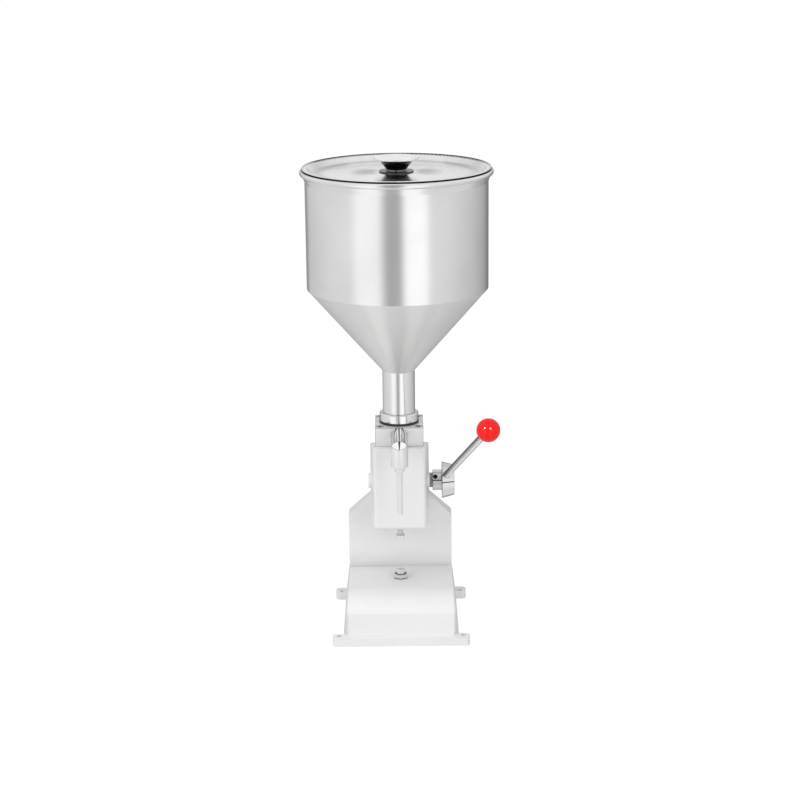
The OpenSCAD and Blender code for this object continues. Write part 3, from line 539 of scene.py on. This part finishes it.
def bronze():
    s = Shader("bronze")
    pores = s.noise(even(1400), detail=2.0)
    cloud = s.noise(even(40))
    s.set(Metallic=1.0, Base_Color=s.tint(cloud, (0.52, 0.34, 0.18), (0.68, 0.47, 0.27)))
    s.set(Roughness=s.span(pores, 0.3, 0.5), Normal=s.bump(pores, 0.00008, 0.5))
    return s.mat


def red_plastic():
    s = Shader("red_plastic")
    cloud = s.noise(even(60), detail=2.0)
    ripple = s.noise(even(900), detail=1.0)
    s.set(Base_Color=s.tint(cloud, (0.88, 0.008, 0.008), (0.94, 0.012, 0.01)))
    s.set(Roughness=s.span(ripple, 0.14, 0.2), Specular_IOR_Level=0.22)
    return s.mat


looks = {
    "paint_white": paint(),
    "steel_satin": hopper_steel(),
    "steel_block": milled("steel_block", (0.87, 0.87, 0.865), grey(0.03), rough=0.42,
                          grain=(40, 700, 700), edge=0.0016, metallic=0.35),
    "steel_polished": steel("steel_polished", grey(0.8), rough=0.16, grain=even(60),
                            grain_depth=0.000001, spread=0.03, flank_shade=grey(0.34)),
    "steel_nozzle": steel("steel_nozzle", (0.79, 0.79, 0.787), rough=0.4, grain=(60, 60, 900),
                          metallic=0.35),
    "steel_gear": steel("steel_gear", grey(0.58), rough=0.3, grain=even(300), spread=0.1),
    "lid": lid_steel(),
    "knob": knob_steel(),
    "socket_screws": socket_screw_steel(),
    "steel_screws": milled("steel_screws", grey(0.82), grey(0.01), rough=0.2, grain=even(400),
                           edge=0.0005, metallic=0.7),
    "steel_hub": milled("steel_hub", grey(0.66), grey(0.02), rough=0.24, grain=even(300),
                        edge=0.0011, marks=hub_marks),
    "steel_washer": milled("steel_washer", grey(0.3), grey(0.02), rough=0.25, grain=even(300),
                           edge=0.0008),
    "dark_washer": milled("dark_washer", grey(0.09), grey(0.01), rough=0.3, grain=even(300),
                          edge=0.0006),
    "elbow": elbow_steel(),
    "locknut": locknut_steel(),
    "lever": lever_steel(),
    "black_oxide": oxide(),
    "rubber_black": rubber(),
    "bronze": bronze(),
    "red_plastic": red_plastic(),
}

# Pieces that look different from the rest of their material slot
own_looks = {
    "hopper_lid": "lid", "lid_knob": "knob", "knob_washer": "dark_washer",
    "block_screws": "socket_screws", "volume_screw": "steel_screws", "tail_screw": "steel_screws",
    "locknut": "locknut", "spout_elbow": "elbow", "lever_hub": "steel_hub", "lever_rod": "lever",
    "shaft_washer": "steel_washer", "shaft_bush_right": "steel_washer",
}
slots = {part["node"]: part["material_slot"] for part in frame["record"]["subparts"]}
for name, obj in nodes.items():
    obj.data.materials.clear()
    obj.data.materials.append(looks[own_looks.get(name, slots[name])])
    for face in obj.data.polygons:
        face.material_index = 0


# Rounded edges of the castings

def soften(name, width=0.0022, segments=3, angle=math.radians(32)):
    """Rounds a casting's sharp edges, as its mould and its paint do."""
    obj = nodes[name]
    weld = obj.modifiers.new("weld", "WELD")
    weld.merge_threshold = 0.00001
    bevel = obj.modifiers.new("rounded_edges", "BEVEL")
    bevel.width = width
    bevel.segments = segments
    bevel.limit_method = "ANGLE"
    bevel.angle_limit = angle
    bevel.miter_outer = "MITER_ARC"
    smooth = obj.modifiers.new("weighted_normals", "WEIGHTED_NORMAL")
    smooth.keep_sharp = False
    smooth.weight = 90
    for face in obj.data.polygons:
        face.use_smooth = True


soften("base_casting")
soften("head_casting")


# The stage: a white floor, and flats that only reflections show

def stage_object(name, points, faces, material):
    mesh = bpy.data.meshes.new(name)
    mesh.from_pydata(points, [], faces)
    mesh.materials.append(material)
    obj = bpy.data.objects.new(name, mesh)
    scene.collection.objects.link(obj)
    return obj


def floor_material():
    """White to the eye, with faint shadows, and plain white board for the light that it bounces."""
    s = Shader("floor_white")
    glow = s.node("ShaderNodeEmission", Color=WHITE, Strength=0.9)
    board = s.node("ShaderNodeBsdfDiffuse", Color=(*grey(0.2), 1))
    bright = s.two_shaders("ShaderNodeAddShader", glow.outputs[0], board.outputs[0])
    plain = s.node("ShaderNodeBsdfDiffuse", Color=(*grey(0.75), 1))
    s.replace_main(s.two_shaders("ShaderNodeMixShader", s.seen(), plain.outputs[0], bright))
    return s.mat


def floor(half=20):
    corners_of_floor = [(-half, -half, 0), (half, -half, 0), (half, half, 0), (-half, half, 0)]
    obj = stage_object("stage_floor", corners_of_floor, [(0, 1, 2, 3)], floor_material())
    # The steel mirrors the flats through it
    obj.visible_glossy = False


# Brightness of the flats by their angle in degrees, where 0 is on the camera's side and 90 to the
# right: below the floor, at the height of the part, and above it
FLATS_FOOT = [(-180, 0.5), (-152, 0.3), (-140, 0.85), (-66, 0.88), (-50, 1.2), (-25, 1.2),
              (-14, 0.5), (3, 0.5), (10, 1.3), (33, 1.3), (42, 0.9), (110, 0.82),
              (140, 0.66), (152, 0.36), (180, 0.5)]
FLATS_LOW = [(-180, 0.5), (-152, 0.3), (-140, 0.68), (-121, 0.76), (-107, 0.82), (-90, 0.87),
             (-60, 0.92), (-47, 1.2), (-23, 1.2), (-12, 0.5), (3, 0.5), (11, 1.3), (33, 1.3),
             (42, 0.9), (62, 0.87), (78, 0.8), (90, 0.74), (101, 0.69), (113, 0.61),
             (129, 0.5), (140, 0.4), (152, 0.2), (180, 0.4)]
FLATS_HIGH = [(-180, 0.95), (-150, 0.75), (-120, 0.95), (-60, 1.0), (-25, 1.2), (-14, 0.45),
              (5, 0.45), (14, 1.2), (60, 1.0), (120, 0.95), (150, 0.75), (180, 0.95)]

# Heights between which one row of flats passes into the next
FOOT_TO_LOW = (-0.32, -0.2)
LOW_TO_HIGH = (0.55, 0.95)


def flats_material(brightest=1.4):
    """The flats' brightness, which a ramp can hold only as shares of the brightest."""
    s = Shader("studio_ring")
    x, y, high = s.parts(s.place())
    turn = s.math("ARCTAN2", x, s.times(y, -1.0))
    turn = s.math("ADD", s.math("DIVIDE", turn, 2 * math.pi), 0.5)

    def flats(stops):
        return s.ramp(turn, [(angle / 360 + 0.5, value / brightest) for angle, value in stops])

    light = s.blend(s.over(high, *FOOT_TO_LOW), flats(FLATS_FOOT), flats(FLATS_LOW))
    light = s.blend(s.over(high, *LOW_TO_HIGH), light, flats(FLATS_HIGH))
    glow = s.node("ShaderNodeEmission", Color=light, Strength=brightest)
    s.replace_main(glow.outputs[0])
    return s.mat


def studio_ring(radius=1.7, low=-3.0, high=3.2, sides=96):
    """White flats and dark gaps round the set, seen only in reflections."""
    turns = [2 * math.pi * side / sides for side in range(sides)]
    points = [(radius * math.cos(turn), radius * math.sin(turn), z)
              for z in (low, high) for turn in turns]
    faces = [(side, (side + 1) % sides, sides + (side + 1) % sides, sides + side)
             for side in range(sides)]
    obj = stage_object("stage_studio_ring", points, faces, flats_material())
    for kind in ("camera", "diffuse", "shadow", "transmission", "volume_scatter"):
        setattr(obj, "visible_" + kind, False)


floor()
studio_ring()


# Light

def white_world():
    """White to the eye and in reflections, and a dimmer white for the light that it gives."""
    world = bpy.data.worlds.new("white_studio")
    scene.world = world
    world.use_nodes = True
    world.node_tree.nodes.clear()
    tree = Tree(world.node_tree)
    white = tree.node("ShaderNodeBackground", Color=WHITE, Strength=1.0)
    fill = tree.node("ShaderNodeBackground", Color=WHITE, Strength=0.57)
    pick = tree.two_shaders("ShaderNodeMixShader", tree.seen(), fill.outputs[0], white.outputs[0])
    tree.node("ShaderNodeOutputWorld", Surface=pick)


def lamp(name, place, target, size, power):
    light = bpy.data.lights.new(name, "AREA")
    light.shape = "RECTANGLE"
    light.size, light.size_y = size
    light.energy = power
    obj = bpy.data.objects.new(name, light)
    obj.location = place
    obj.rotation_euler = (Vector(target) - Vector(place)).to_track_quat("-Z", "Y").to_euler()
    obj.visible_camera = False
    obj.visible_glossy = False
    scene.collection.objects.link(obj)
    return obj


def ball_lamp(name, across, above, power, size=0.26, reach=1.4):
    """A window of light that only the red ball mirrors, at these shares of its radius off its middle."""
    middle = middle_of("ball_knob")
    to_camera = (camera_place - middle).normalized()
    right = Vector((0, 0, 1)).cross(to_camera).normalized()
    up = to_camera.cross(right)
    normal = to_camera * math.sqrt(1 - across * across - above * above) + right * across + up * above
    mirrored = 2 * normal.dot(to_camera) * normal - to_camera
    obj = lamp(name, middle + mirrored * reach, middle, (size, size), power)
    obj.visible_glossy = True
    obj.visible_diffuse = False
    only_ball = bpy.data.collections.new(name + "_lights")
    only_ball.objects.link(nodes["ball_knob"])
    obj.light_linking.receiver_collection = only_ball


part_middle = (0, 0, 0.3)
white_world()
lamp("key_top", (-0.3, -0.5, 2.6), part_middle, (1.8, 1.8), 15)
lamp("fill_left", (-1.7, -1.5, 1.2), part_middle, (1.2, 1.6), 16)
lamp("fill_right", (1.1, -2.0, 1.0), part_middle, (1.0, 1.6), 13)
ball_lamp("ball_glint_left", -0.3, 0.18, 17)
ball_lamp("ball_glint_right", 0.18, 0.14, 14)


# Camera

def aim_camera():
    forward = (camera_target - camera_place).normalized()
    right = forward.cross(Vector((0, 0, 1))).normalized()
    level_up = right.cross(forward)
    up = level_up * math.cos(camera_roll) + right * math.sin(camera_roll)
    side = forward.cross(up)
    data = bpy.data.cameras.new("photo_camera")
    data.lens = camera_lens_mm
    data.sensor_width = 36
    obj = bpy.data.objects.new("photo_camera", data)
    turned = Matrix((side, up, -forward)).transposed().to_4x4()
    turned.translation = camera_place
    obj.matrix_world = turned
    scene.collection.objects.link(obj)
    scene.camera = obj


aim_camera()
scene.view_settings.view_transform = "Standard"
